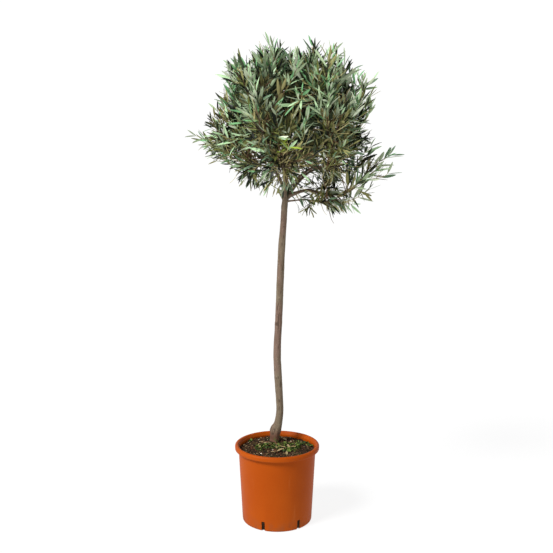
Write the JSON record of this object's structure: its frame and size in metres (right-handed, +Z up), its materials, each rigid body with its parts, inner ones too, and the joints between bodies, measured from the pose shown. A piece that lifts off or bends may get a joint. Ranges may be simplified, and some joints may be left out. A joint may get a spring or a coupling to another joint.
{
  "type": "potted olive tree",
  "caption": "Small standard olive tree: a slim leaning stem with an open rounded head of narrow grey-green leaves, growing in a round lipped nursery pot of soil.",
  "frame": {"origin": "middle of the pot's flat underside, on the floor it stands on", "axes": "+Z straight up the pot, +X to the right and -Y towards the front, as the tree is usually seen; the stem stands behind the middle of the pot"},
  "size_m": [0.6751, 0.5507, 1.572],
  "materials": {
    "pot": "satin moulded terracotta-coloured plastic",
    "soil": "dark crumbly potting soil",
    "bark": "matt grey-brown bark",
    "foliage": "grey-green leaves, paler beneath"
  },
  "bodies": {
    "root": {"bough_high_back": "bark", "bough_high_back_left": "bark", "bough_high_front_left": "bark", "bough_high_front_right": "bark", "bough_high_right": "bark", "bough_low_back": "bark", "bough_low_back_right": "bark", "bough_low_front": "bark", "bough_low_front_right": "bark", "bough_low_left": "bark", "bough_middle_back": "bark", "bough_middle_back_left": "bark", "bough_middle_front": "bark", "bough_middle_front_right": "bark", "bough_middle_left": "bark", "bough_middle_right": "bark", "bough_skirt_right": "bark", "bough_top_back": "bark", "bough_top_front_left": "bark", "bough_top_front_right": "bark", "bough_wing_right": "bark", "foliage_high_back": "foliage", "foliage_high_back_left": "foliage", "foliage_high_front_left": "foliage", "foliage_high_front_right": "foliage", "foliage_high_right": "foliage", "foliage_low_back": "foliage", "foliage_low_back_right": "foliage", "foliage_low_front": "foliage", "foliage_low_front_right": "foliage", "foliage_low_left": "foliage", "foliage_middle_back": "foliage", "foliage_middle_back_left": "foliage", "foliage_middle_front": "foliage", "foliage_middle_front_right": "foliage", "foliage_middle_left": "foliage", "foliage_middle_right": "foliage", "foliage_skirt_right": "foliage", "foliage_top_back": "foliage", "foliage_top_front_left": "foliage", "foliage_top_front_right": "foliage", "foliage_wing_right": "foliage", "pot": "pot", "soil": "soil", "trunk": "bark"}
  },
  "joints": []
}
